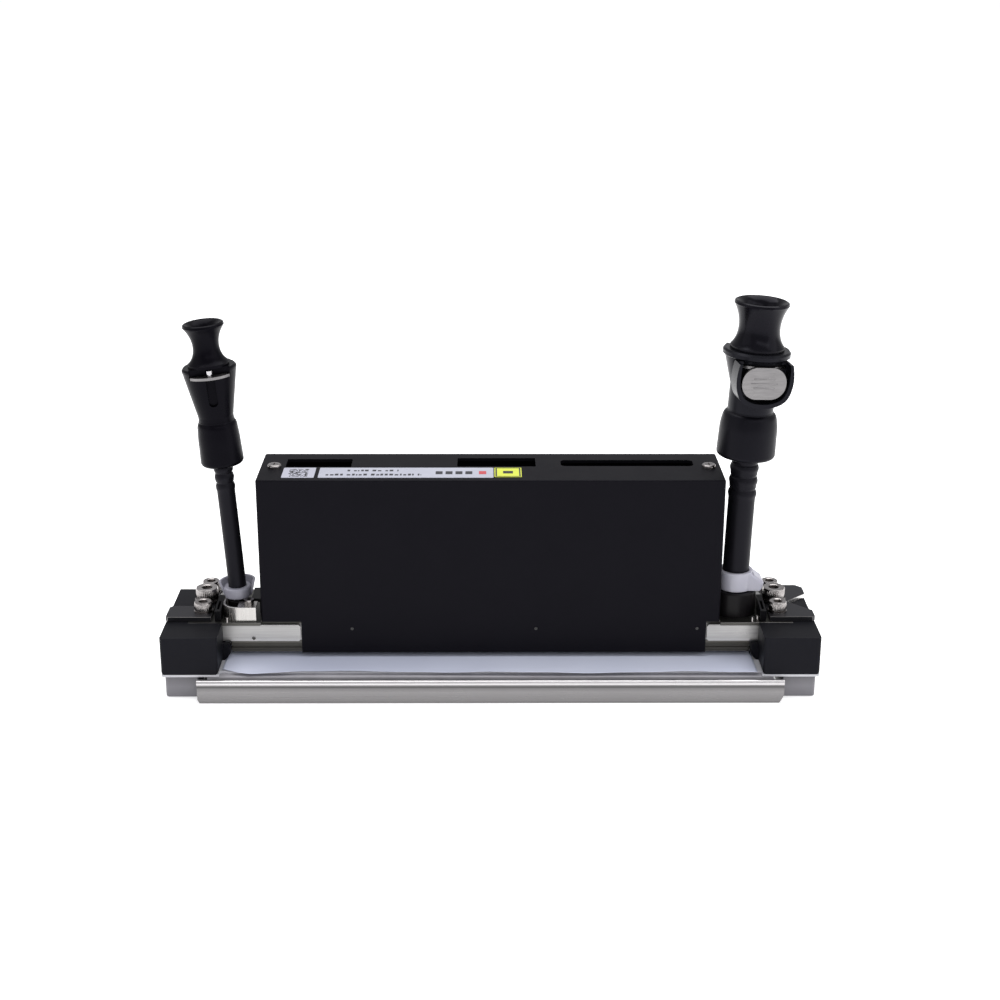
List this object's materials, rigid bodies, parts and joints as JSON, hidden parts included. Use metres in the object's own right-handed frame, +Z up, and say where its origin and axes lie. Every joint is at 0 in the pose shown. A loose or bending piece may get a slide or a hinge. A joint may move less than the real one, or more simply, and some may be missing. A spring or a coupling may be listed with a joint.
{
  "type": "date code inkjet print head",
  "caption": "Page-wide inkjet print head for date coding, in its steel service tray, with an ink inlet and outlet hose that end in latched, plugged quick couplings.",
  "frame": {"origin": "centre of the tray's underside, under the middle of the head", "axes": "+X along the head towards the V-datum end, -Y the front, +Z up"},
  "size_m": [0.2, 0.045, 0.1194],
  "materials": {
    "tray_steel": "brushed",
    "pad_foam": "matte",
    "plate_white": "satin",
    "film": "satin",
    "plinth_grey": "satin",
    "stack_olive": "satin",
    "stack_edge": "satin",
    "nozzle_steel": "satin",
    "frame_steel": "satin",
    "flange_dark": "satin",
    "flex_amber": "satin",
    "board_green": "satin",
    "chip_black": "matte",
    "connector_black": "matte",
    "spreader_aluminium": "satin",
    "post_steel": "satin",
    "cover_black": "matte",
    "screw_steel": "bright",
    "label_silver": "satin",
    "label_white": "satin",
    "label_yellow": "satin",
    "block_black": "matte",
    "ear_dark": "satin",
    "fitting_black": "satin",
    "guard_steel": "satin",
    "bracket_black": "gloss",
    "nipple_steel": "satin",
    "hose_rubber": "satin",
    "clip_nylon": "satin",
    "boot_black": "satin",
    "body_black": "satin",
    "latch_steel": "satin",
    "pin_steel": "bright",
    "spring_steel": "bright",
    "plug_black": "gloss",
    "seal_rubber": "matte"
  },
  "bodies": {
    "head": {"base_tray": "tray_steel", "tray_pad": "pad_foam", "base_plate": "plate_white", "protective_film": "film", "plinth_left": "plinth_grey", "plinth_right": "plinth_grey", "nozzle_plate": "nozzle_steel", "cavity_plates": "stack_olive", "manifold_plate": "stack_edge", "head_frame": "frame_steel", "head_flange": "flange_dark", "flex_circuits": "flex_amber", "driver_board_front": "board_green", "driver_board_rear": "board_green", "driver_chips": "chip_black", "board_connectors": "connector_black", "heat_spreader": "spreader_aluminium", "posts_and_spacers": "post_steel", "top_cover": "cover_black", "cover_screws": "screw_steel", "flap_pins": "pin_steel", "top_label": "label_silver", "code_label": "label_white", "yellow_label": "label_yellow", "end_block_right": "block_black", "end_block_left": "block_black", "ear_plate_right": "ear_dark", "ear_plate_left": "ear_dark", "ear_screws_small": "screw_steel", "ear_screws_large": "screw_steel", "ear_washers": "screw_steel", "fitting_base_left": "fitting_black", "fitting_base_right": "fitting_black", "fitting_guard_left": "guard_steel", "fitting_tab_left": "bracket_black", "fitting_fasteners": "screw_steel", "fitting_bracket_left": "bracket_black", "ink_nipple_left": "nipple_steel", "hose_left": "hose_rubber", "hose_clip_left": "clip_nylon", "coupling_barb_left": "nipple_steel", "coupling_boot_left": "boot_black", "coupling_body_left": "body_black", "latch_spring_left": "spring_steel", "fitting_bracket_right": "bracket_black", "ink_nipple_right": "nipple_steel", "hose_right": "hose_rubber", "hose_clip_right": "clip_nylon", "coupling_barb_right": "nipple_steel", "coupling_boot_right": "boot_black", "coupling_body_right": "body_black", "latch_spring_right": "spring_steel"},
    "plug_left": {"sealing_plug_left": "plug_black", "plug_seal_left": "seal_rubber"},
    "latch_left": {"latch_plate_left": "latch_steel", "lock_pin_left": "pin_steel"},
    "plug_right": {"sealing_plug_right": "plug_black", "plug_seal_right": "seal_rubber"},
    "latch_right": {"latch_plate_right": "latch_steel", "lock_pin_right": "pin_steel"}
  },
  "joints": [
    {"name": "plug_slide_left", "type": "slide", "parent": "head", "child": "plug_left", "axis": [-0.0872, 0, 0.9962], "range_m": [0, 0.0125]},
    {"name": "latch_press_left", "type": "slide", "parent": "head", "child": "latch_left", "axis": [0.1558, -0.9877, 0.0136], "range_m": [0, 0.0023], "stiffness_N_per_m": 200, "springref_m": -0.0015, "deforming": ["latch_spring_left"]},
    {"name": "plug_slide_right", "type": "slide", "parent": "head", "child": "plug_right", "axis": [0.0576, 0, 0.9983], "range_m": [0, 0.0125]},
    {"name": "latch_press_right", "type": "slide", "parent": "head", "child": "latch_right", "axis": [-0.1389, 0.9903, 0.008], "range_m": [0, 0.0023], "stiffness_N_per_m": 200, "springref_m": -0.0015, "deforming": ["latch_spring_right"]}
  ],
  "couplings": [
    {"joint": "latch_press_left", "follows": "plug_slide_left", "ratio": 0.176},
    {"joint": "latch_press_right", "follows": "plug_slide_right", "ratio": 0.176}
  ]
}
